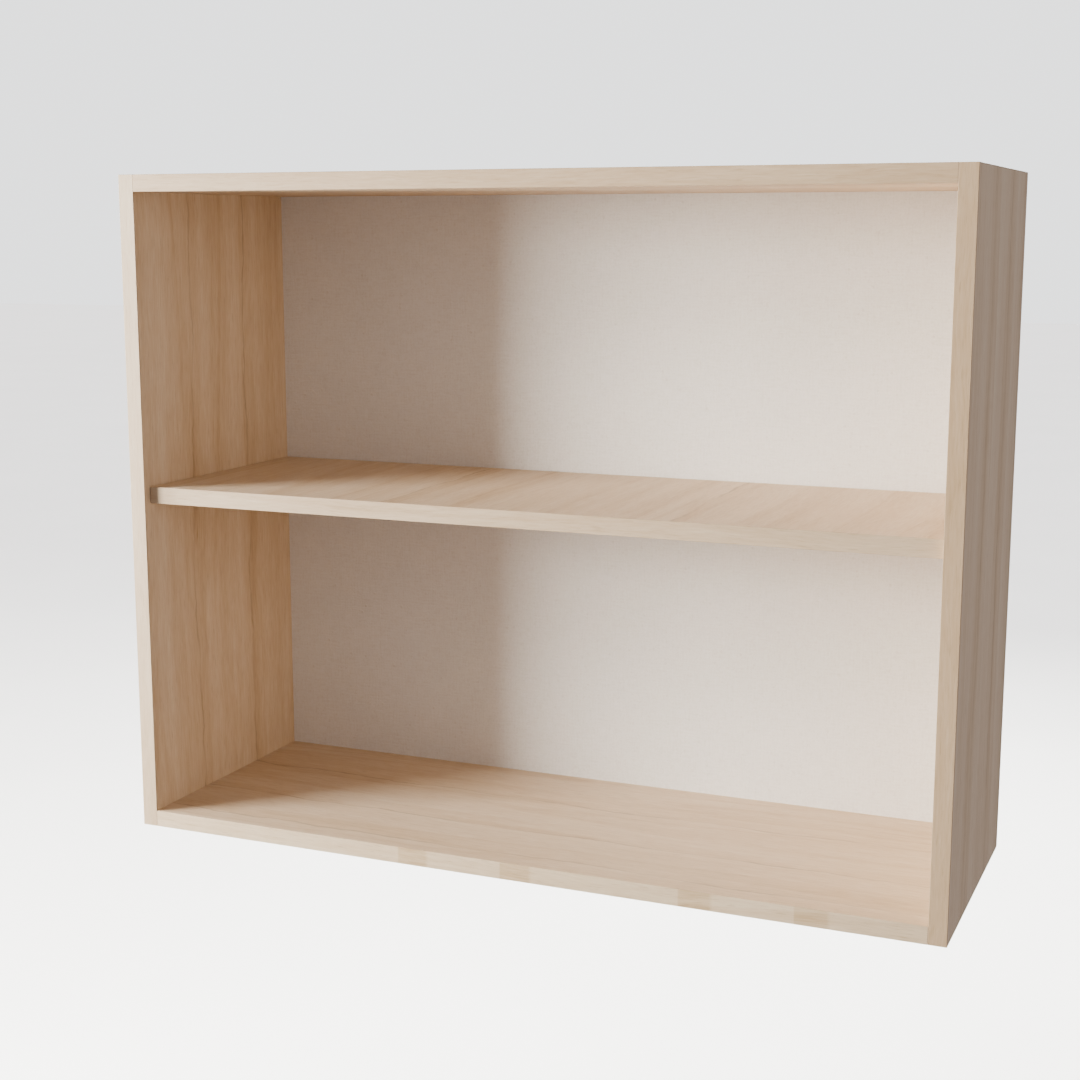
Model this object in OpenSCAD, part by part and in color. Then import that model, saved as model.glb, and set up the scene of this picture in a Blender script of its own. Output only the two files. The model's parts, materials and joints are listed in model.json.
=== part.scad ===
// Hanging wall cabinet: an open carcass of four boards with one loose shelf and a thin back panel.
// The origin is the centre of the rear face, which lies on the wall. X runs along the wall,
// the open front faces -Y and Z is up. Every size is in millimetres.

/* [Carcass] */
// Width over both sides
cabinet_w = 900; // [450:10:1200]
// Height of the sides
cabinet_h = 720; // [560:10:960]
// Depth of the boards with their front bands, without the back panel
carcass_d = 300; // [240:5:400]
// Thickness of every board
board_t = 18; // [18:1:22]
// Thickness of the edge bands
band_t = 1; // [0.4:0.1:2]

/* [Shelf] */
// Height of the shelf's underside above the foot of the sides
shelf_height = 367; // [120:1:420]
// Step from the cabinet's front back to the shelf's front
shelf_setback = 10; // [2:1:40]
// Gap at each end of the shelf
shelf_end_gap = 0.5; // [0.3:0.1:1]
// Gap between the shelf and the back panel
shelf_rear_gap = 0.5; // [0.3:0.1:5]
// Distance of the shelf pins from the shelf's front and rear edges
shelf_pin_inset = 50; // [35:1:80]

/* [Back panel] */
// Thickness of the back panel
back_t = 3; // [2.5:0.5:5]
// Step from the carcass's outer faces in to the back panel's edges
back_inset = 2; // [1:0.5:4]
// Longest spacing between neighbouring nails
nail_pitch = 150; // [80:10:200]
// Distance of the last nails from the cabinet's corners
nail_end = 60; // [45:5:90]

/* [Corner fittings] */
// Distance of the cams from the boards' front and rear edges
cam_inset = 37; // [30:1:45]
// Step from a cam inwards to its dowel
dowel_step = 32; // [24:1:40]
// Distance from a panel's end to the middle of its cams
cam_reach = 24; // [22:1:34]
// Length of the dowels
dowel_l = 32; // [28:1:36]

/* [Wall hangers] */
// Distance from the top of the sides down to the hanger plates
hanger_drop = 12; // [8:1:30]
// Radius of a keyhole's round entry
keyhole_r = 4.75; // [4.25:0.05:5]
// Half of the width of a keyhole's slot
slot_r = 2.25; // [2.1:0.05:2.5]
// Rise from a keyhole's entry to the top of its slot
slot_rise = 15; // [12:0.5:16]

/* [Hidden] */
$fn = 48;
past = 1; // how far a cutting shape runs past the face it cuts
clearance = 0.05; // radial gap between a fitting and its hole

// Planes of the carcass
half_w = cabinet_w / 2;
half_h = cabinet_h / 2;
inner_x = half_w - board_t;
inner_z = half_h - board_t;
rear_y = -back_t;
front_y = rear_y - carcass_d;
board_front_y = front_y + band_t;
edge_x = half_w - board_t / 2;
edge_z = half_h - board_t / 2;

// Shelf
shelf_low = shelf_height - half_h;
shelf_front_y = front_y + shelf_setback;
shelf_rear_y = rear_y - shelf_rear_gap;
shelf_x = inner_x - shelf_end_gap;
shelf_pin_ys = [shelf_front_y + shelf_pin_inset, shelf_rear_y - shelf_pin_inset];

// Shelf pins: a round shank in the side, a collar, and a flat tongue that the shelf lies on
pin_r = 2.45;
pin_l = 8;
pin_hole_l = 9;
pin_drop = 3.2;
pin_collar_r = 4.2;
pin_collar_t = 1;
tongue_w = 8;
tongue_l = 9;
tongue_t = 1.8;
rib_l = 7;

// Cams lie under their caps in blind bores, and each holds the head of a bolt
cam_r = 7.45;
cam_h = 12.2;
cap_t = 1;
cap_sink = 0.1;
cap_chamfer = 0.3;
cap_gap = 0.1;
cam_bore_depth = 13.5;
cam_top_z = half_h - cap_sink - cap_t - cap_gap;
cam_x = inner_x - cam_reach;
cam_ys = [front_y + cam_inset, rear_y - cam_inset];
cross_l = 6.8;
cross_w = 1.6;
cross_depth = 2.8;
cross_play = 0.3;
cam_hollow_r = 4.6;
cam_hollow_h = 7;
cam_slot_w = 4.4;

// Cam bolts
bolt_root_r = 2;
bolt_crest_r = 2.45;
bolt_thread_pitch = 1.8;
bolt_crests = 6;
bolt_hole_l = 12;
bolt_collar_r = 3.4;
bolt_collar_t = 1.2;
bolt_neck_r = 1.75;
bolt_head_r = 3;
bolt_head_l = 3;
bolt_chamfer = 0.6;
bolt_channel_r = 3.75;

// Dowels
dowel_r = 3.95;
dowel_in_side = 12;
dowel_end_gap = 0.5;
dowel_chamfer = 1;
flute_count = 8;
flute_r = 0.5;
dowel_ys = [front_y + cam_inset + dowel_step, rear_y - cam_inset - dowel_step];

// Hanger plates, each in a corner notch of the back panel with its rear face just below the panel's
hanger_t = 2;
hanger_w = 15;
hanger_h = 54;
hanger_corner_r = 2;
hanger_gap = 0.5;
hanger_z = half_h - hanger_drop - hanger_h / 2;
hanger_rear_y = rear_y + hanger_t;
keyhole_low = -7;
pocket_r = 6;
pocket_depth = 8;
hanger_screw_step = 20;

// Countersunk screws of the hanger plates
screw_r = 1.75;
screw_root_r = 1.35;
screw_pitch = 1.5;
screw_crests = 7;
screw_head_r = 3.3;
screw_head_t = 1.6;
screw_tip = 2;
screw_l = screw_head_t + screw_crests * screw_pitch + screw_tip;
screw_cross_l = 3.2;
screw_cross_w = 0.8;
screw_cross_depth = 1.2;

// Nails, with their heads just below the back panel's rear face
nail_r = 0.7;
nail_l = 20;
nail_tip = 1.5;
nail_head_r = 1.6;
nail_head_t = 0.5;
nail_sink = 0.1;
nail_below_hanger = 24;
nail_low_z = nail_end - half_h;
nail_high_z = half_h - hanger_drop - hanger_h - nail_below_hanger;

wood = [0.84, 0.76, 0.66];
band_wood = [0.89, 0.83, 0.75];
white_board = [0.9, 0.89, 0.87];
steel = [0.72, 0.73, 0.75];
zinc = [0.6, 0.61, 0.63];
beech = [0.8, 0.63, 0.43];
cap_plastic = [0.85, 0.79, 0.7];

// Evenly spaced values from a to b, no further apart than the nail pitch
function nail_row(a, b) =
    let (steps = ceil((b - a) / nail_pitch))
    [for (i = [0 : steps]) a + (b - a) * i / steps];

// Points of a thread's outline: [radius, place] pairs with one crest for each turn
function thread(start, turns, pitch, root_r, crest_r) =
    [for (i = [0 : turns - 1]) each [
        [root_r, start + i * pitch],
        [crest_r, start + (i + 0.5) * pitch],
    ]];

// A box given by two opposite corners
module span(low, high) {
    translate(low) cube(high - low);
}

// A rod along X from x1 to x2
module rod_x(x1, x2, y, z, r) {
    translate([x1, y, z]) rotate([0, 90, 0]) cylinder(h = x2 - x1, r = r);
}

// A rod along Y from y1 to y2
module rod_y(y1, y2, x, z, r) {
    translate([x, y2, z]) rotate([90, 0, 0]) cylinder(h = y2 - y1, r = r);
}

// A plate or cutter that reaches from y1 to y2, with its outline drawn in X and Z
module outline_y(y1, y2, x, z) {
    translate([x, y2, z]) rotate([90, 0, 0]) linear_extrude(y2 - y1) children();
}

// What is drawn for the right side of the cabinet, or its mirror image on the left
module on_side(side) {
    if (side == "left") mirror([1, 0, 0]) children();
    else children();
}

// What is drawn at the top of the cabinet, or its mirror image at the bottom
module at_level(level) {
    if (level == "bottom") mirror([0, 0, 1]) children();
    else children();
}

module at_corner(level, side) {
    on_side(side) at_level(level) children();
}

module on_both_sides() {
    children();
    mirror([1, 0, 0]) children();
}

module at_both_levels() {
    children();
    mirror([0, 0, 1]) children();
}

// Holes in a side for the upper corner's bolts and dowels
module side_corner_holes() {
    for (y = cam_ys)
        rod_x(inner_x - past, inner_x + bolt_hole_l, y, edge_z, bolt_crest_r + clearance);
    for (y = dowel_ys)
        rod_x(inner_x - past, inner_x + dowel_in_side + dowel_end_gap, y, edge_z,
              dowel_r + clearance);
}

// Bores in the top panel's right end for the cams, bolts and dowels
module panel_corner_holes() {
    dowel_hole_x = inner_x - (dowel_l - dowel_in_side) - dowel_end_gap;
    for (y = cam_ys) {
        translate([cam_x, y, half_h - cam_bore_depth])
            cylinder(h = cam_bore_depth + past, r = cam_r + clearance);
        rod_x(cam_x, inner_x + past, y, edge_z, bolt_channel_r);
    }
    for (y = dowel_ys)
        rod_x(dowel_hole_x, inner_x + past, y, edge_z, dowel_r + clearance);
}

// Where the nails go: along the top panel, and up the right side
module at_top_nails() {
    for (x = nail_row(nail_end - half_w, half_w - nail_end)) translate([x, 0, edge_z]) children();
}

module at_side_nails() {
    for (z = nail_row(nail_low_z, nail_high_z)) translate([edge_x, 0, z]) children();
}

module nail_hole() {
    rod_y(-nail_l - nail_sink - clearance, past, 0, 0, nail_r + clearance);
}

module nail_head_hole() {
    rod_y(-nail_sink - nail_head_t - clearance, past, 0, 0, nail_head_r + clearance);
}

// Two crossed bars, as in a screw's recess, from z1 to z2
module cross(length, width, z1, z2) {
    for (turn = [0, 90])
        rotate(turn) span([-length / 2, -width / 2, z1], [length / 2, width / 2, z2]);
}

// Right-hand side board, with its bores
module side_board() {
    color(wood) difference() {
        span([inner_x, board_front_y, band_t - half_h], [half_w, rear_y, half_h - band_t]);
        at_both_levels() side_corner_holes();
        for (y = shelf_pin_ys)
            rod_x(inner_x - past, inner_x + pin_hole_l, y, shelf_low - pin_drop, pin_r + clearance);
        at_side_nails() nail_hole();
        outline_y(rear_y - pocket_depth, rear_y + past, edge_x, hanger_z) pocket_outline();
        for (step = [-hanger_screw_step, hanger_screw_step])
            rod_y(hanger_rear_y - screw_l - past, rear_y + past, edge_x, hanger_z + step,
                  screw_r + clearance);
    }
}

// Top board, with its bores
module level_board() {
    color(wood) difference() {
        span([-inner_x, board_front_y, inner_z], [inner_x, rear_y, half_h]);
        on_both_sides() panel_corner_holes();
        at_top_nails() nail_hole();
    }
}

module shelf() {
    color(wood)
        span([-shelf_x, shelf_front_y + band_t, shelf_low],
             [shelf_x, shelf_rear_y, shelf_low + board_t]);
}

module shelf_front_band() {
    color(band_wood)
        span([-shelf_x, shelf_front_y, shelf_low],
             [shelf_x, shelf_front_y + band_t, shelf_low + board_t]);
}

module side_front_band() {
    color(band_wood) span([inner_x, front_y, -half_h], [half_w, board_front_y, half_h]);
}

module level_front_band() {
    color(band_wood) span([-inner_x, front_y, inner_z], [inner_x, board_front_y, half_h]);
}

module side_end_bands() {
    color(band_wood) at_both_levels()
        span([inner_x, board_front_y, half_h - band_t], [half_w, rear_y, half_h]);
}

// Thin sheet on the boards' rear edges, notched at its upper corners for the hanger plates
module back_panel() {
    panel_x = half_w - back_inset;
    panel_z = half_h - back_inset;
    notch_x = edge_x - hanger_w / 2 - hanger_gap;
    notch_z = hanger_z - hanger_h / 2 - hanger_gap;
    color(white_board) difference() {
        span([-panel_x, rear_y, -panel_z], [panel_x, 0, panel_z]);
        on_both_sides()
            span([notch_x, rear_y - past, notch_z], [half_w, past, half_h]);
        at_both_levels() at_top_nails() union() {
            nail_hole();
            nail_head_hole();
        }
        on_both_sides() at_side_nails() union() {
            nail_hole();
            nail_head_hole();
        }
    }
}

module nail() {
    rotate([90, 0, 0]) rotate_extrude() polygon([
        [0, nail_sink],
        [nail_head_r, nail_sink],
        [nail_head_r, nail_sink + nail_head_t],
        [nail_r, nail_sink + nail_head_t],
        [nail_r, nail_l - nail_tip],
        [0, nail_l],
    ]);
}

module back_panel_nails() {
    color(steel) {
        at_both_levels() at_top_nails() nail();
        on_both_sides() at_side_nails() nail();
    }
}

// One cam, with the upper face at zero and its bolt coming from +X
module cam() {
    bolt_z = edge_z - cam_top_z;
    reach = cam_r + past;
    difference() {
        translate([0, 0, -cam_h]) cylinder(h = cam_h, r = cam_r);
        translate([0, 0, bolt_z - cam_hollow_h / 2]) cylinder(h = cam_hollow_h, r = cam_hollow_r);
        // slot that closes on the bolt's neck as the cam turns
        span([0, -reach, bolt_z - cam_slot_w / 2], [reach, cam_slot_w / 2, bolt_z + cam_slot_w / 2]);
        // window where the bolt's head goes in
        span([-bolt_channel_r, -reach, bolt_z - cam_hollow_h / 2],
             [bolt_channel_r, 0, bolt_z + cam_hollow_h / 2]);
        cross(cross_l, cross_w, -cross_depth, past);
    }
}

module cams() {
    color(zinc) for (y = cam_ys) translate([cam_x, y, cam_top_z]) cam();
}

// Disc that closes a cam's bore, with a cross on its underside that grips the cam
module cam_cap() {
    stem_low = -cap_t - cross_depth + cross_play;
    union() {
        rotate_extrude() polygon([
            [0, -cap_t],
            [cam_r, -cap_t],
            [cam_r, -cap_chamfer],
            [cam_r - cap_chamfer, 0],
            [0, 0],
        ]);
        cross(cross_l - cross_play, cross_w - cross_play, stem_low, -cap_t / 2);
    }
}

module cam_caps() {
    color(cap_plastic) for (y = cam_ys) translate([cam_x, y, half_h - cap_sink]) cam_cap();
}

// Bolt along X: its thread is in the side and its head is in the cam
module cam_bolt() {
    thread_l = bolt_crests * bolt_thread_pitch;
    head_x = bolt_head_l / 2 - cam_reach;
    rotate([0, 90, 0]) rotate_extrude() polygon(concat(
        [
            [0, head_x - bolt_head_l],
            [bolt_head_r - bolt_chamfer, head_x - bolt_head_l],
            [bolt_head_r, head_x - bolt_head_l + bolt_chamfer],
            [bolt_head_r, head_x - bolt_chamfer],
            [bolt_neck_r, head_x],
            [bolt_neck_r, -bolt_collar_t],
            [bolt_collar_r, -bolt_collar_t],
            [bolt_collar_r, 0],
        ],
        thread(0, bolt_crests, bolt_thread_pitch, bolt_root_r, bolt_crest_r),
        [
            [bolt_root_r, thread_l],
            [0, thread_l + bolt_root_r / 2],
        ]
    ));
}

module cam_bolts() {
    color(steel) for (y = cam_ys) translate([inner_x, y, edge_z]) cam_bolt();
}

module dowel() {
    difference() {
        rotate_extrude() polygon([
            [0, 0],
            [dowel_r - dowel_chamfer, 0],
            [dowel_r, dowel_chamfer],
            [dowel_r, dowel_l - dowel_chamfer],
            [dowel_r - dowel_chamfer, dowel_l],
            [0, dowel_l],
        ]);
        for (i = [0 : flute_count - 1])
            rotate(i * 360 / flute_count)
                translate([dowel_r, 0, -past]) cylinder(h = dowel_l + 2 * past, r = flute_r);
    }
}

module dowels() {
    color(beech) for (y = dowel_ys)
        translate([inner_x + dowel_in_side - dowel_l, y, edge_z]) rotate([0, 90, 0]) dowel();
}

// Shelf pin in the right side, at the given distance along Y
module shelf_pin(y) {
    color(steel) intersection() {
        union() {
            rod_x(inner_x - rib_l, inner_x + pin_l, y, shelf_low - pin_drop, pin_r);
            rod_x(inner_x - pin_collar_t, inner_x, y, shelf_low - pin_drop, pin_collar_r);
            span([inner_x - tongue_l, y - tongue_w / 2, shelf_low - tongue_t],
                 [inner_x, y + tongue_w / 2, shelf_low]);
        }
        // nothing rises above the shelf's underside
        span([inner_x - 2 * tongue_l, y - 2 * tongue_w, shelf_low - 2 * tongue_w],
             [inner_x + 2 * pin_l, y + 2 * tongue_w, shelf_low]);
    }
}

// Outline of a hanger plate, as four round corners and two crossed bars
module plate_outline() {
    corner_x = hanger_w / 2 - hanger_corner_r;
    corner_z = hanger_h / 2 - hanger_corner_r;
    square([2 * corner_x, hanger_h], center = true);
    square([hanger_w, 2 * corner_z], center = true);
    for (x = [-corner_x, corner_x], z = [-corner_z, corner_z])
        translate([x, z]) circle(r = hanger_corner_r);
}

// A round entry that narrows to a slot above it
module keyhole_outline() {
    translate([0, keyhole_low]) circle(r = keyhole_r);
    translate([-slot_r, keyhole_low]) square([2 * slot_r, slot_rise]);
    translate([0, keyhole_low + slot_rise]) circle(r = slot_r);
}

// Pocket behind the keyhole, where the head of the wall screw travels
module pocket_outline() {
    translate([0, keyhole_low]) circle(r = pocket_r);
    translate([-pocket_r, keyhole_low]) square([2 * pocket_r, slot_rise]);
    translate([0, keyhole_low + slot_rise]) circle(r = pocket_r);
}

module hanger_plate() {
    color(steel) difference() {
        outline_y(rear_y, hanger_rear_y, edge_x, hanger_z) difference() {
            plate_outline();
            keyhole_outline();
        }
        for (step = [-hanger_screw_step, hanger_screw_step])
            translate([edge_x, hanger_rear_y, hanger_z + step]) rotate([90, 0, 0]) {
                cylinder(h = screw_head_t, r1 = screw_head_r + clearance, r2 = screw_r + clearance);
                translate([0, 0, -past])
                    cylinder(h = hanger_t + 2 * past, r = screw_r + clearance);
            }
    }
}

// Countersunk screw along Z with the head's face at zero
module hanger_screw() {
    thread_l = screw_crests * screw_pitch;
    difference() {
        rotate_extrude() polygon(concat(
            [
                [0, clearance],
                [screw_head_r, clearance],
                [screw_r, screw_head_t],
            ],
            thread(screw_head_t, screw_crests, screw_pitch, screw_root_r, screw_r),
            [
                [screw_root_r, screw_head_t + thread_l],
                [0, screw_l],
            ]
        ));
        cross(screw_cross_l, screw_cross_w, -past, screw_cross_depth);
    }
}

module hanger_screws() {
    color(steel) for (step = [-hanger_screw_step, hanger_screw_step])
        translate([edge_x, hanger_rear_y, hanger_z + step]) rotate([90, 0, 0]) hanger_screw();
}

on_side("left") side_board();  // left_side
on_side("right") side_board();  // right_side
at_level("top") level_board();  // top_panel
at_level("bottom") level_board();  // bottom_panel
shelf();
back_panel();
on_side("left") side_front_band();  // left_side_front_band
on_side("right") side_front_band();  // right_side_front_band
at_level("top") level_front_band();  // top_panel_front_band
at_level("bottom") level_front_band();  // bottom_panel_front_band
shelf_front_band();
on_side("left") side_end_bands();  // left_side_end_bands
on_side("right") side_end_bands();  // right_side_end_bands
back_panel_nails();
at_corner("top", "left") cams();  // cams_top_left
at_corner("top", "right") cams();  // cams_top_right
at_corner("bottom", "left") cams();  // cams_bottom_left
at_corner("bottom", "right") cams();  // cams_bottom_right
at_corner("top", "left") cam_bolts();  // cam_bolts_top_left
at_corner("top", "right") cam_bolts();  // cam_bolts_top_right
at_corner("bottom", "left") cam_bolts();  // cam_bolts_bottom_left
at_corner("bottom", "right") cam_bolts();  // cam_bolts_bottom_right
at_corner("top", "left") dowels();  // dowels_top_left
at_corner("top", "right") dowels();  // dowels_top_right
at_corner("bottom", "left") dowels();  // dowels_bottom_left
at_corner("bottom", "right") dowels();  // dowels_bottom_right
at_corner("top", "left") cam_caps();  // cam_caps_top_left
at_corner("top", "right") cam_caps();  // cam_caps_top_right
at_corner("bottom", "left") cam_caps();  // cam_caps_bottom_left
at_corner("bottom", "right") cam_caps();  // cam_caps_bottom_right
on_side("left") shelf_pin(shelf_pin_ys[0]);  // shelf_pin_front_left
on_side("right") shelf_pin(shelf_pin_ys[0]);  // shelf_pin_front_right
on_side("left") shelf_pin(shelf_pin_ys[1]);  // shelf_pin_rear_left
on_side("right") shelf_pin(shelf_pin_ys[1]);  // shelf_pin_rear_right
on_side("left") hanger_plate();  // hanger_plate_left
on_side("right") hanger_plate();  // hanger_plate_right
on_side("left") hanger_screws();  // hanger_screws_left
on_side("right") hanger_screws();  // hanger_screws_right
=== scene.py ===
import json
import math

import bpy
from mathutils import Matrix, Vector


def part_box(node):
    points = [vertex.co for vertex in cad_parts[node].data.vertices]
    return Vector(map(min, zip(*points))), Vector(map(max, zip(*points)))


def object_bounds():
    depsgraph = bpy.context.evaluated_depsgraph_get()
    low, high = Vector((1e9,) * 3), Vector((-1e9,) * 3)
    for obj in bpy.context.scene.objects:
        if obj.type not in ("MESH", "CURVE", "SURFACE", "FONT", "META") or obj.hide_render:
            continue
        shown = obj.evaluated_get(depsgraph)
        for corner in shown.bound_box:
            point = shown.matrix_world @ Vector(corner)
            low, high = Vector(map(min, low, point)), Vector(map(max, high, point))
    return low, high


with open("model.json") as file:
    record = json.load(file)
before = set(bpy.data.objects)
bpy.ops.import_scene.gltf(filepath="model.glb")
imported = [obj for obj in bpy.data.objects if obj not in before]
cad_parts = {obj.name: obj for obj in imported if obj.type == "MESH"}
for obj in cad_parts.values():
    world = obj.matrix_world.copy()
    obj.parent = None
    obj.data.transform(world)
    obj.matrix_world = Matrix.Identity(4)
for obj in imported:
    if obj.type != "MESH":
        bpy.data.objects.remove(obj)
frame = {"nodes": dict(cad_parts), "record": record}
cad_low, cad_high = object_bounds()
nodes = frame["nodes"]
slot_of = {part["node"]: part["material_slot"] for part in frame["record"]["subparts"]}

MM = 0.001
centre = (cad_low + cad_high) / 2


# ---------------------------------------------------------------- camera

LENS_MM = 58.74
SENSOR_MM = 36

# From the cabinet's centre, in metres
CAMERA_OFFSET = Vector((0.7077, -1.7349, 0.2997))
LOOKS_LEFT = math.radians(22.97)
LOOKS_DOWN = math.radians(9.905)


def make_camera():
    """Stands to the right of the cabinet and a little above its middle, and looks left and down."""
    data = bpy.data.cameras.new("camera")
    data.lens = LENS_MM
    data.sensor_width = SENSOR_MM
    camera = bpy.data.objects.new("camera", data)
    camera.location = centre + CAMERA_OFFSET
    camera.rotation_euler = (math.pi / 2 - LOOKS_DOWN, 0, LOOKS_LEFT)
    bpy.context.scene.collection.objects.link(camera)
    bpy.context.scene.camera = camera


# ---------------------------------------------------------------- shader tools

# The Mix node has sockets for each type of data, and these are its places for colours
MIX_FACTOR, MIX_A, MIX_B, MIX_RESULT = 0, 6, 7, 2

# A point that is this near to the plane of a face lies on the face
FACE_SKIN = 0.05 * MM


def colour(red, green, blue):
    """A screen colour, each part from 0 to 255, as the linear colour that a socket takes."""
    def channel(value):
        value /= 255
        return value / 12.92 if value <= 0.04045 else ((value + 0.055) / 1.055) ** 2.4

    return channel(red), channel(green), channel(blue), 1


class Shader:
    """A material with a Principled surface, and short calls that add nodes to it."""

    def __init__(self, name, metallic=0.0, roughness=0.5):
        self.material = bpy.data.materials.new(name)
        self.material.use_nodes = True
        self.tree = self.material.node_tree
        self.surface = self.tree.nodes["Principled BSDF"]
        self.surface.inputs["Metallic"].default_value = metallic
        self.surface.inputs["Roughness"].default_value = roughness
        self.place = self.tree.nodes.new("ShaderNodeTexCoord").outputs["Object"]
        split = self.tree.nodes.new("ShaderNodeSeparateXYZ")
        self.plug(split.inputs[0], self.place)
        self.axes = dict(zip("xyz", split.outputs))

    def plug(self, socket, value):
        """Joins another node's output to the socket, or sets the socket to a plain value."""
        if isinstance(value, bpy.types.NodeSocket):
            self.tree.links.new(value, socket)
        else:
            socket.default_value = value

    def math(self, operation, a, b=0.0):
        node = self.tree.nodes.new("ShaderNodeMath")
        node.operation = operation
        self.plug(node.inputs[0], a)
        self.plug(node.inputs[1], b)
        return node.outputs[0]

    def add(self, a, b):
        return self.math("ADD", a, b)

    def times(self, a, b):
        return self.math("MULTIPLY", a, b)

    def vector(self, x, y, z):
        node = self.tree.nodes.new("ShaderNodeCombineXYZ")
        for socket, value in zip(node.inputs, (x, y, z)):
            self.plug(socket, value)
        return node.outputs[0]

    def scaled(self, x_scale, y_scale, z_scale):
        """The place on the object, with each axis stretched by its own scale."""
        x, y, z = (self.axes[axis] for axis in "xyz")
        return self.vector(self.times(x, x_scale), self.times(y, y_scale), self.times(z, z_scale))

    def noise(self, vector, detail=2.0, roughness=0.5, scale=1.0):
        """Noise between 0 and 1, around a half."""
        node = self.tree.nodes.new("ShaderNodeTexNoise")
        self.plug(node.inputs["Vector"], vector)
        node.inputs["Scale"].default_value = scale
        node.inputs["Detail"].default_value = detail
        node.inputs["Roughness"].default_value = roughness
        return node.outputs[0]

    def cells(self, scale, output="Distance"):
        """Cells around scattered points: the distance from the nearest point, or each cell's colour."""
        node = self.tree.nodes.new("ShaderNodeTexVoronoi")
        self.plug(node.inputs["Vector"], self.place)
        node.inputs["Scale"].default_value = scale
        return node.outputs[output]

    def cell_greys(self, scale):
        """Cells that each have a grey of their own."""
        node = self.tree.nodes.new("ShaderNodeRGBToBW")
        self.plug(node.inputs[0], self.cells(scale, output="Color"))
        return node.outputs[0]

    def sway(self, noise, size):
        """Noise around a half, as noise around zero that is size wide."""
        return self.times(self.add(noise, -0.5), size)

    def smooth(self, value, low, high, to_low=0.0, to_high=1.0):
        """An eased step from to_low at low to to_high at high."""
        node = self.tree.nodes.new("ShaderNodeMapRange")
        node.interpolation_type = "SMOOTHSTEP"
        for socket, part in zip(node.inputs, (value, low, high, to_low, to_high)):
            self.plug(socket, part)
        return node.outputs[0]

    def mix(self, factor, a, b):
        node = self.tree.nodes.new("ShaderNodeMix")
        node.data_type = "RGBA"
        self.plug(node.inputs[MIX_FACTOR], factor)
        self.plug(node.inputs[MIX_A], a)
        self.plug(node.inputs[MIX_B], b)
        return node.outputs[MIX_RESULT]

    def ramp(self, value, colours):
        """Blends through the colours, evenly spaced from 0 to 1."""
        node = self.tree.nodes.new("ShaderNodeValToRGB")
        points = node.color_ramp.elements
        while len(points) < len(colours):
            points.new(1.0)
        for i, tone in enumerate(colours):
            points[i].position = i / (len(colours) - 1)
            points[i].color = tone
        self.plug(node.inputs[0], value)
        return node.outputs[0]

    def on_face(self, axis, value, side):
        """1 on the face in the plane axis = value, which looks along the axis if side is 1 and against
        it if side is -1, and 0 off the face."""
        past = self.times(self.add(self.axes[axis], -value), side)
        return self.math("GREATER_THAN", past, -FACE_SKIN)

    def finish(self, base, roughness=None, height=None, relief=0.0):
        """Joins up the surface: its colour, its roughness, and a relief of the given depth."""
        self.plug(self.surface.inputs["Base Color"], base)
        if roughness is not None:
            self.plug(self.surface.inputs["Roughness"], roughness)
        if height is not None:
            bump = self.tree.nodes.new("ShaderNodeBump")
            bump.inputs["Distance"].default_value = relief
            self.plug(bump.inputs["Height"], height)
            self.plug(self.surface.inputs["Normal"], bump.outputs[0])
        return self.material


# ---------------------------------------------------------------- wood

# The boards' laminate and their bands', from the darkest grain to the lightest. The right and top bands
# take darker, tanner tones as painted shade, and the bottom band lighter ones as painted light.
BOARD_TONES = [colour(195, 165, 133), colour(212, 187, 158), colour(222, 200, 175), colour(231, 213, 191)]
BAND_TONES = [colour(183, 156, 124), colour(196, 171, 142), colour(204, 181, 154), colour(212, 192, 167)]
SHADED_BAND_TONES = [colour(176, 147, 114), colour(189, 162, 131), colour(197, 172, 143), colour(206, 184, 157)]
LIT_BAND_TONES = [colour(192, 165, 132), colour(206, 182, 151), colour(214, 192, 164), colour(222, 203, 176)]
LINE_TONE = colour(150, 121, 86)

# Pressed chips in a board's core, from dark to light
CORE_TONES = [colour(132, 98, 64), colour(176, 142, 102), colour(203, 174, 134), colour(222, 199, 164)]

# Layers of the grain. Each is a noise with its waves in a metre across the grain, along the grain and
# through the board, and then its detail and roughness.
STRIPS = (26, 0.6, 0, 2, 0.55)
STREAKS = (105, 7, 30, 5, 0.75)
FIBRES = (600, 42, 260, 3, 0.55)
PORES = (1200, 60, 800, 1, 0.55)
RINGS = (11, 0.45, 8, 3, 0.4)

# How often the ring layer folds back on itself, and the part of each fold that is shaded
RING_FOLDS = 16
RING_WIDTH = 0.34

# The pore layer's levels where a pore begins and where it is deepest
PORE_LEVELS = (0.6, 0.74)

# How the grain bends sideways: waves in a metre across it and along it, and how far it bends
BENDS_ACROSS = 4
LONG_BENDS = (2.2, 30 * MM)
SHORT_BENDS = (16, 5 * MM)

# How light the wood is on the whole, from 0 to 1, and how much each layer changes that
MEAN_TONE = 0.58
STRIP_CONTRAST = 0.9
STREAK_CONTRAST = 0.85
FIBRE_CONTRAST = 0.85
RING_SHADE = 0.18
BLOCK_SHADE = 0.45
PORE_SHADE = 0.26

# Growth lines: their bends in a metre and how far they bend, their swellings in a metre, the width
# that is fully dark and the least and greatest width over which that fades, how dark they are on the
# whole, and how much of that is left where a line is faintest and strongest
LINE_BENDS = 9
LINE_BEND_SIZE = 26 * MM
LINE_SWELLS = 40
LINE_CORE = 0.2 * MM
LINE_WIDTHS = (1.0 * MM, 3.2 * MM)
LINE_SHADE = 0.5
LINE_STRENGTHS = (0.2, 0.85)

# The noise's levels between which a line swells and between which it comes in
SWELL_LEVELS = (0.3, 0.7)
STRENGTH_LEVELS = (0.38, 0.6)

# Each growth line has a seed of its own, this far from the last one's
LINE_SEED_STEP = 3.7

# Darker wood that starts at a growth line and fades away from it
LATE_WOOD_WIDTH = 26 * MM
LATE_WOOD_EDGE = 1.5 * MM
LATE_WOOD_SHADE = 0.15

# How softly a darker block starts and ends
BLOCK_START_BLUR = 2 * MM
BLOCK_END_BLUR = 6 * MM

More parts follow.
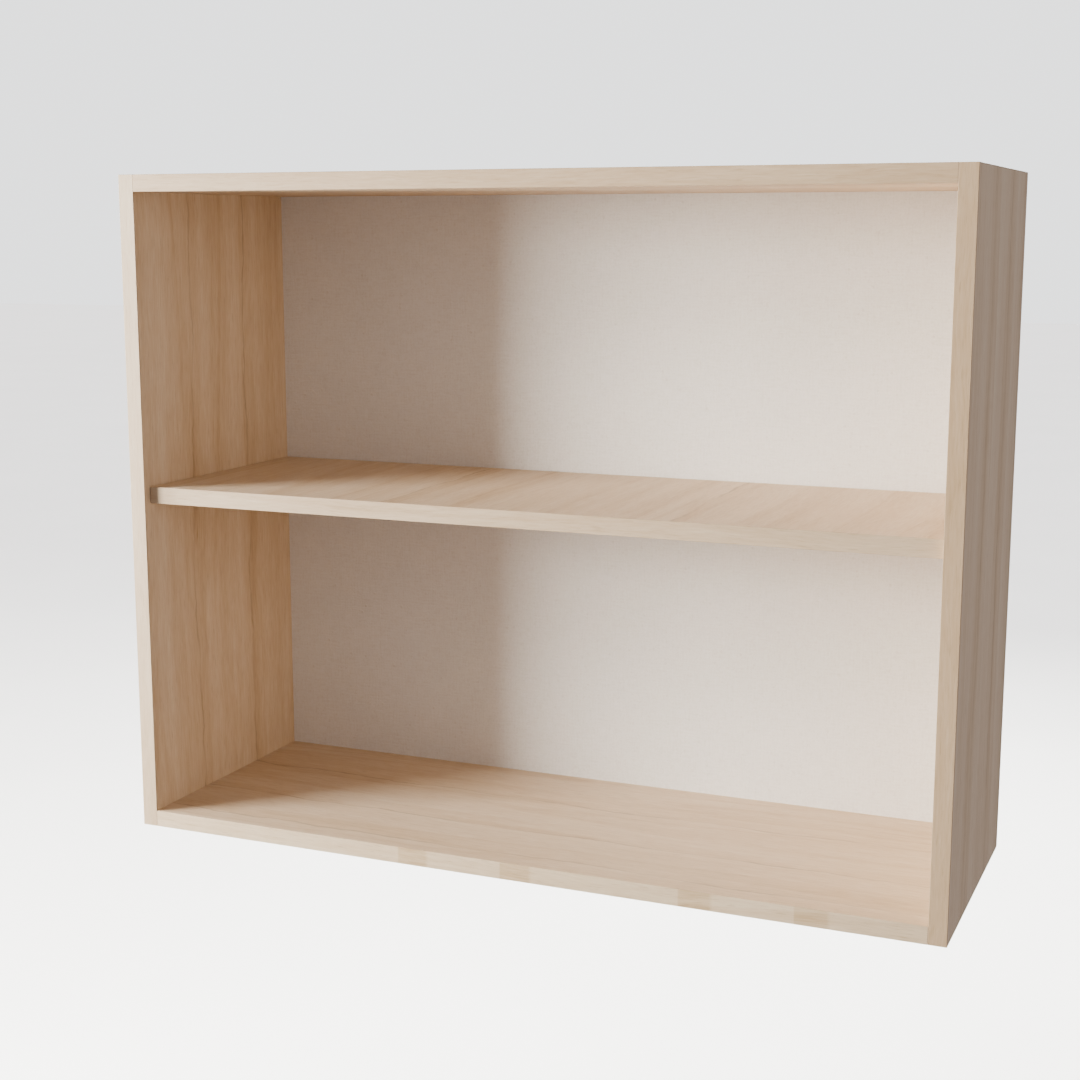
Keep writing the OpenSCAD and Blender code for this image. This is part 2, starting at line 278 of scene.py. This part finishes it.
# Roughness of the laminate, how much the streaks change it, and how much rougher the bare core is
WOOD_ROUGHNESS = 0.48
STREAK_ROUGHNESS = 0.24
CORE_ROUGHNESS = 0.35

# Depth of the relief, and each layer's part in it
WOOD_RELIEF = 0.06 * MM
FIBRE_HEIGHT = 0.6
STREAK_HEIGHT = 0.5
PORE_DEPTH = 0.7

# Pressed chips: their number in a metre, the fine grain's waves in a metre, and the part of each
CHIPS = 420
CHIP_GRAIN = 900
CHIP_PART = 0.7
CHIP_GRAIN_PART = 0.35


def chipboard(shader):
    """Pressed chips, as on an edge that has no band."""
    chips = shader.times(shader.cell_greys(CHIPS), CHIP_PART)
    grain = shader.times(shader.noise(shader.place, detail=4, scale=CHIP_GRAIN), CHIP_GRAIN_PART)
    return shader.ramp(shader.add(chips, grain), CORE_TONES)


def growth_line(shader, run, shift, seed):
    """A dark line where shift is near 0, which bends, swells and fades along run. Returns how dark the
    line is, and the shade of the late wood beside it."""
    bend = shader.noise(shader.vector(shader.times(run, LINE_BENDS), seed, 0), detail=4, roughness=0.6)
    shift = shader.add(shift, shader.sway(bend, LINE_BEND_SIZE))
    swell = shader.noise(shader.vector(shader.times(run, LINE_SWELLS), seed, 9))
    width = shader.smooth(swell, *SWELL_LEVELS, *LINE_WIDTHS)
    line = shader.smooth(shader.math("ABSOLUTE", shift), LINE_CORE, width, 1, 0)
    fade = shader.noise(shader.vector(shader.times(run, LINE_BENDS), seed, 5))
    strength = shader.smooth(fade, *STRENGTH_LEVELS, *LINE_STRENGTHS)
    late_wood = shader.smooth(shift, -LATE_WOOD_EDGE, LATE_WOOD_WIDTH, -LATE_WOOD_SHADE, 0)
    starts = shader.smooth(shift, -LATE_WOOD_EDGE, LATE_WOOD_EDGE)
    return shader.times(line, strength), shader.times(late_wood, starts)


def wood(name, along, across, tones, seed, lines=(), bare=(), blocks=()):
    """Straight-grained wood. along and across are axes of the frame, lines are the places across the
    grain of its dark growth lines, bare lists the faces that show the board's core, and blocks are
    the places along the grain where a short darker block starts and ends. seed sets where its other
    grain falls."""
    shader = Shader(name)
    through = next(axis for axis in "xyz" if axis not in (along, across))
    run, cross, deep = (shader.axes[axis] for axis in (along, across, through))

    for (waves, size), own_seed in ((LONG_BENDS, seed), (SHORT_BENDS, seed + 40)):
        place = shader.vector(shader.times(cross, BENDS_ACROSS), shader.times(run, waves), own_seed)
        cross = shader.add(cross, shader.sway(shader.noise(place, detail=1), size))

    def layer(across_scale, along_scale, deep_scale, detail, roughness):
        place = shader.vector(
            shader.times(cross, across_scale),
            shader.add(shader.times(run, along_scale), seed),
            shader.times(deep, deep_scale),
        )
        return shader.noise(place, detail, roughness)

    streaks = layer(*STREAKS)
    fibres = layer(*FIBRES)
    pores = shader.smooth(layer(*PORES), *PORE_LEVELS)
    rings = shader.math("PINGPONG", shader.times(layer(*RINGS), RING_FOLDS), 1.0)
    rings = shader.smooth(rings, 0.0, RING_WIDTH, 1, 0)

    tone = shader.add(MEAN_TONE, shader.sway(layer(*STRIPS), STRIP_CONTRAST))
    tone = shader.add(tone, shader.sway(streaks, STREAK_CONTRAST))
    tone = shader.add(tone, shader.sway(fibres, FIBRE_CONTRAST))
    tone = shader.add(tone, shader.times(rings, -RING_SHADE))
    lines_dark = 0.0
    for i, line in enumerate(lines):
        own_seed = seed + LINE_SEED_STEP * (i + 1)
        dark, shade = growth_line(shader, run, shader.add(cross, -line), own_seed)
        lines_dark = shader.math("MAXIMUM", lines_dark, dark)
        tone = shader.add(tone, shade)
    for start, end in blocks:
        starts = shader.smooth(run, start, start + BLOCK_START_BLUR)
        ends = shader.smooth(run, end - BLOCK_END_BLUR, end, 1, 0)
        tone = shader.add(tone, shader.times(shader.times(starts, ends), -BLOCK_SHADE))

    base = shader.ramp(tone, tones)
    base = shader.mix(shader.times(pores, PORE_SHADE), base, LINE_TONE)
    if lines:
        base = shader.mix(shader.times(lines_dark, LINE_SHADE), base, LINE_TONE)
    roughness = shader.add(WOOD_ROUGHNESS, shader.sway(streaks, STREAK_ROUGHNESS))
    height = shader.add(shader.times(fibres, FIBRE_HEIGHT), shader.times(streaks, STREAK_HEIGHT))
    height = shader.add(height, shader.times(pores, -PORE_DEPTH))

    if bare:
        is_bare = 0.0
        for axis, value, side in bare:
            is_bare = shader.math("MAXIMUM", is_bare, shader.on_face(axis, value, side))
        base = shader.mix(is_bare, base, chipboard(shader))
        roughness = shader.add(roughness, shader.times(is_bare, CORE_ROUGHNESS))
    return shader.finish(base, roughness, height, WOOD_RELIEF)


# ---------------------------------------------------------------- other materials

# Off-white inside of the back panel, and its brown rear, from dark to light
WHITE_TONES = [colour(222, 215, 208), colour(236, 231, 226), colour(244, 240, 237)]
BROWN_TONES = [colour(94, 74, 56), colour(126, 102, 79), colour(147, 123, 98), colour(172, 148, 122)]

# Depth of the back panel's white face and of its brown one
PANEL_SKIN = 0.3 * MM

# The white face: waves in a metre of its specks, its clouds and its threads, along and across them,
# the number of its dents in a metre, and the dents' inner and outer edges as parts of their spacing
SPECKS = 420
CLOUDS = 7
THREAD_ALONG = 55
THREAD_ACROSS = 480
DENTS = 70
DENT_EDGES = (0.06, 0.14)

# The brown face: the pitch of the mesh pressed into it, and the waves in a metre of its fibres
MESH_PITCH = 1.6 * MM
FLUFF = 300

# Roughness of the white face, and how much rougher the brown one is
PANEL_ROUGHNESS = 0.62
REAR_ROUGHNESS = 0.2
PANEL_RELIEF = 0.16 * MM

METAL_RELIEF = 0.02 * MM
PLASTIC_RELIEF = 0.04 * MM
BEECH_ROUGHNESS = 0.7

# Each pair is the light tone and the dark one
STEEL_TONES = (colour(196, 198, 201), colour(160, 162, 167))
ZINC_TONES = (colour(160, 162, 166), colour(118, 120, 125))
NICKEL_TONES = (colour(212, 208, 200), colour(182, 177, 168))
CAP_TONES = (colour(219, 200, 172), colour(200, 179, 149))

BEECH_TONES = [colour(176, 132, 88), colour(205, 164, 118), colour(224, 190, 148)]
BEECH_FLECK = colour(128, 86, 52)


def back_board(name, inside, rear):
    """Thin fibreboard between the planes y = inside and y = rear: off-white and finely textured on
    its inside, bare and mesh-pressed on its rear."""
    shader = Shader(name)
    behind = shader.smooth(shader.axes["y"], inside + PANEL_SKIN, rear - PANEL_SKIN)

    speckle = shader.noise(shader.place, detail=4, roughness=0.7, scale=SPECKS)
    cloud = shader.noise(shader.place, detail=2, scale=CLOUDS)
    upright = shader.noise(shader.scaled(THREAD_ACROSS, 0, THREAD_ALONG), detail=2)
    level = shader.noise(shader.scaled(THREAD_ALONG, 0, THREAD_ACROSS), detail=2)
    weave = shader.add(level, upright)
    dents = shader.smooth(shader.cells(DENTS), *DENT_EDGES, 1, 0)
    tone = shader.add(shader.times(speckle, 0.9), shader.times(weave, 0.5))
    tone = shader.add(shader.add(tone, -0.45), shader.sway(cloud, 0.3))
    # The dents are also drawn darker in colour: painted shade.
    tone = shader.add(tone, shader.times(dents, -0.2))

    waves = 2 * math.pi / MESH_PITCH
    x_wave, z_wave = (shader.math("SINE", shader.times(shader.axes[axis], waves)) for axis in "xz")
    mesh = shader.times(x_wave, z_wave)
    fluff = shader.noise(shader.place, detail=5, roughness=0.7, scale=FLUFF)

    brown = shader.ramp(shader.add(fluff, shader.times(mesh, 0.08)), BROWN_TONES)
    base = shader.mix(behind, shader.ramp(tone, WHITE_TONES), brown)
    inside_height = shader.add(shader.add(speckle, weave), dents)
    height = shader.add(
        shader.times(inside_height, shader.math("SUBTRACT", 1, behind)),
        shader.times(shader.add(mesh, fluff), behind),
    )
    roughness = shader.add(PANEL_ROUGHNESS, shader.times(behind, REAR_ROUGHNESS))
    return shader.finish(base, roughness, height, PANEL_RELIEF)


def metal(name, tone, dark, roughness, crystals, scratches):
    """Plated or cast metal with faint crystals, cloudy gloss and fine scratches. crystals is their
    number in a metre, and scratches is how much the scratches change the roughness."""
    shader = Shader(name, metallic=1.0)
    crystal = shader.cell_greys(crystals)
    cloud = shader.noise(shader.place, detail=3, scale=160)
    lines = shader.noise(shader.scaled(300, 300, 9000), detail=2)
    base = shader.mix(shader.add(shader.times(crystal, 0.5), shader.times(cloud, 0.6)), dark, tone)
    change = shader.add(shader.sway(cloud, 0.2), shader.sway(lines, scratches))
    height = shader.add(cloud, shader.times(lines, 0.4))
    return shader.finish(base, shader.add(roughness, change), height, METAL_RELIEF)


def moulded(name, tone, shade):
    """Matt plastic with an eroded mould's fine grain."""
    shader = Shader(name)
    grain = shader.noise(shader.place, detail=4, roughness=0.65, scale=2600)
    cloud = shader.noise(shader.place, detail=2, scale=90)
    base = shader.mix(shader.add(shader.times(grain, 0.5), shader.times(cloud, 0.5)), shade, tone)
    return shader.finish(base, shader.add(0.5, shader.sway(grain, 0.2)), grain, PLASTIC_RELIEF)


def beech(name):
    """Turned beech with short dark flecks along it."""
    shader = Shader(name, roughness=BEECH_ROUGHNESS)
    grain = shader.noise(shader.scaled(40, 1200, 1200), detail=4)
    flecks = shader.smooth(shader.noise(shader.scaled(400, 3000, 3000)), 0.6, 0.7)
    base = shader.mix(shader.times(flecks, 0.4), shader.ramp(grain, BEECH_TONES), BEECH_FLECK)
    return shader.finish(base, height=grain, relief=WOOD_RELIEF)


# ---------------------------------------------------------------- materials on the CAD parts

# Growth lines, measured back from the front of the sides and panels and rightwards on the shelf
SIDE_LINES = [97 * MM, 205 * MM]
RIGHT_SIDE_LINE = 290 * MM
PANEL_LINES = [26 * MM, 102 * MM, 204 * MM]
SHELF_LINES = [300 * MM, 615 * MM]

# Darker blocks in the bottom panel's front band, measured from its left
BLOCK_STARTS = [322 * MM, 440 * MM, 634 * MM, 752 * MM]
BLOCK_LENGTH = 38 * MM


def make_board_materials():
    """A material for each board and band, under the name of its node."""
    side_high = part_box("left_side")[1]
    shelf_low, shelf_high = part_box("shelf")
    front, left = cad_low.y, cad_low.x
    side_lines = [front + line for line in SIDE_LINES]
    right_side_lines = side_lines + [front + RIGHT_SIDE_LINE]
    panel_lines = [front + line for line in PANEL_LINES]
    shelf_lines = [left + line for line in SHELF_LINES]
    blocks = [(left + start, left + start + BLOCK_LENGTH) for start in BLOCK_STARTS]
    rear_edge = [("y", side_high.y, 1)]
    shelf_edges = [("y", shelf_high.y, 1), ("x", shelf_low.x, -1), ("x", shelf_high.x, 1)]
    return {
        "left_side": wood("board_left", "z", "y", BOARD_TONES, 1.3, side_lines, rear_edge),
        "right_side": wood("board_right", "z", "y", BOARD_TONES, 8.1, right_side_lines, rear_edge),
        "top_panel": wood("board_top", "x", "y", BOARD_TONES, 15.2, panel_lines, rear_edge),
        "bottom_panel": wood("board_bottom", "x", "y", BOARD_TONES, 22.6, panel_lines, rear_edge),
        "shelf": wood("board_shelf", "y", "x", BOARD_TONES, 29.4, shelf_lines, shelf_edges),
        "left_side_front_band": wood("band_left", "z", "x", BAND_TONES, 36.5),
        # Painted shade: the right and top bands take darker, tanner tones than the left one.
        "right_side_front_band": wood("band_right", "z", "x", SHADED_BAND_TONES, 43.1),
        "top_panel_front_band": wood("band_top", "x", "z", SHADED_BAND_TONES, 50.7),
        # Painted light: the bottom band takes lighter tones than the other bands.
        "bottom_panel_front_band": wood("band_bottom", "x", "z", LIT_BAND_TONES, 57.2, blocks=blocks),
        "shelf_front_band": wood("band_shelf", "x", "z", BAND_TONES, 64.8),
        "left_side_end_bands": wood("band_left_ends", "y", "x", BAND_TONES, 71.9),
        "right_side_end_bands": wood("band_right_ends", "y", "x", BAND_TONES, 78.3),
    }


def make_slot_materials():
    """A material for each of the record's slots that isn't a board or a band."""
    panel_low, panel_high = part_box("back_panel")
    return {
        "back_board": back_board("back_board", panel_low.y, panel_high.y),
        "plated_steel": metal("plated_steel", *STEEL_TONES, roughness=0.34, crystals=700, scratches=0.2),
        "cast_zinc": metal("cast_zinc", *ZINC_TONES, roughness=0.5, crystals=1400, scratches=0.1),
        "nickel": metal("nickel", *NICKEL_TONES, roughness=0.24, crystals=2200, scratches=0.14),
        "dowel_wood": beech("dowel_wood"),
        "cap_plastic": moulded("cap_plastic", *CAP_TONES),
    }


def dress_nodes():
    """Gives every CAD part its material: its own where it has one, or else its slot's."""
    own = make_board_materials()
    of_slot = make_slot_materials()
    for name, node in nodes.items():
        chosen = own.get(name) or of_slot[slot_of[name]]
        node.data.materials.clear()
        node.data.materials.append(chosen)


# ---------------------------------------------------------------- eased edges

WELD_DISTANCE = 0.002 * MM
EASED_RADIUS = {"board": 0.25 * MM, "edge_band": 0.4 * MM, "cap_plastic": 0.15 * MM}
SHARP_ANGLE = math.radians(50)


def ease_edges():
    """Rounds the sharp edges a little, as sanding and trimming do."""
    for name, node in nodes.items():
        radius = EASED_RADIUS.get(slot_of[name])
        if radius is None:
            continue
        weld = node.modifiers.new("weld", "WELD")
        weld.merge_threshold = WELD_DISTANCE
        bevel = node.modifiers.new("eased_edges", "BEVEL")
        bevel.width = radius
        bevel.segments = 2
        bevel.limit_method = "ANGLE"
        bevel.angle_limit = SHARP_ANGLE
        bevel.harden_normals = True


# ---------------------------------------------------------------- studio

# Each light's name, its direction in degrees left of the front and up, its distance, width and height
# in metres, and its power in watts
LIGHTS = [
    ("key_low", 55, 6, 4.0, 1.2, 1.0, 210),
    ("key_high", 55, 22, 4.0, 1.2, 1.0, 95),
    ("window", 64, 30, 4.0, 0.3, 0.3, 25),
    ("near", 75, -12, 1.6, 0.3, 0.6, 28),
    ("opposite", -60, 10, 4.0, 2.0, 2.0, 15),
    ("behind", 180, 30, 4.0, 2.0, 2.0, 150),
]
LIGHT_COLOUR = (1.0, 1.005, 0.955)

FLOOR_DROP = 0.9
FLOOR_SIZE = 60
FLOOR_TONES = (colour(226, 225, 224), colour(232, 231, 230))
FLOOR_CLOUDS = 1.5
FLOOR_LIGHT_STRENGTH = 5.0
FLOOR_LIGHT_SPREAD = math.radians(60)

FILL_COLOUR = (1.0, 0.935, 0.95, 1)
FILL_STRENGTH = 0.33
BACKDROP_COLOUR = (0.98, 0.99, 1.0, 1)
BACKDROP_STRENGTH = 1.5


def make_area_light(name, left, up, distance, width, height, power):
    """A soft light that shines on the cabinet from left and up, angles in degrees from its front."""
    data = bpy.data.lights.new(name, "AREA")
    data.shape = "RECTANGLE"
    data.size = width
    data.size_y = height
    data.energy = power
    data.color = LIGHT_COLOUR
    light = bpy.data.objects.new(name, data)
    left, up = math.radians(left), math.radians(up)
    away = Vector((-math.sin(left) * math.cos(up), -math.cos(left) * math.cos(up), math.sin(up)))
    light.location = centre + away * distance
    light.rotation_euler = (-away).to_track_quat("-Z", "Y").to_euler()
    bpy.context.scene.collection.objects.link(light)


def make_floor():
    """Plain pale floor, well below the cabinet, that throws no light back onto it."""
    half = FLOOR_SIZE / 2
    level = cad_low.z - FLOOR_DROP
    corners = [(-half, -half), (half, -half), (half, half), (-half, half)]
    mesh = bpy.data.meshes.new("floor")
    mesh.from_pydata([(x, y, level) for x, y in corners], [], [(0, 1, 2, 3)])
    floor = bpy.data.objects.new("floor", mesh)
    floor.visible_diffuse = False
    floor.visible_glossy = False
    shader = Shader("floor", roughness=0.9)
    cloud = shader.noise(shader.place, detail=3, scale=FLOOR_CLOUDS)
    mesh.materials.append(shader.finish(shader.mix(cloud, *FLOOR_TONES)))
    bpy.context.scene.collection.objects.link(floor)
    return floor


def make_floor_light(floor):
    """A light from overhead that brings the floor up to the backdrop and reaches nothing else."""
    only_floor = bpy.data.collections.new("only_floor")
    only_floor.objects.link(floor)
    data = bpy.data.lights.new("floor_light", "SUN")
    data.energy = FLOOR_LIGHT_STRENGTH
    data.angle = FLOOR_LIGHT_SPREAD
    light = bpy.data.objects.new("floor_light", data)
    light.light_linking.receiver_collection = only_floor
    bpy.context.scene.collection.objects.link(light)


def make_world():
    """A weak, warm fill, in front of a pale backdrop that only the camera sees."""
    world = bpy.data.worlds.new("studio")
    world.use_nodes = True
    tree = world.node_tree
    fill = tree.nodes["Background"]
    fill.inputs["Color"].default_value = FILL_COLOUR
    fill.inputs["Strength"].default_value = FILL_STRENGTH
    backdrop = tree.nodes.new("ShaderNodeBackground")
    backdrop.inputs["Color"].default_value = BACKDROP_COLOUR
    backdrop.inputs["Strength"].default_value = BACKDROP_STRENGTH
    seen = tree.nodes.new("ShaderNodeLightPath")
    mix = tree.nodes.new("ShaderNodeMixShader")
    tree.links.new(seen.outputs["Is Camera Ray"], mix.inputs[0])
    tree.links.new(fill.outputs[0], mix.inputs[1])
    tree.links.new(backdrop.outputs[0], mix.inputs[2])
    tree.links.new(mix.outputs[0], tree.nodes["World Output"].inputs[0])
    bpy.context.scene.world = world


def make_studio():
    make_floor_light(make_floor())
    make_world()
    for light in LIGHTS:
        make_area_light(*light)
    view = bpy.context.scene.view_settings
    view.view_transform = "AgX"
    view.look = "AgX - Medium High Contrast"


make_camera()
dress_nodes()
ease_edges()
make_studio()
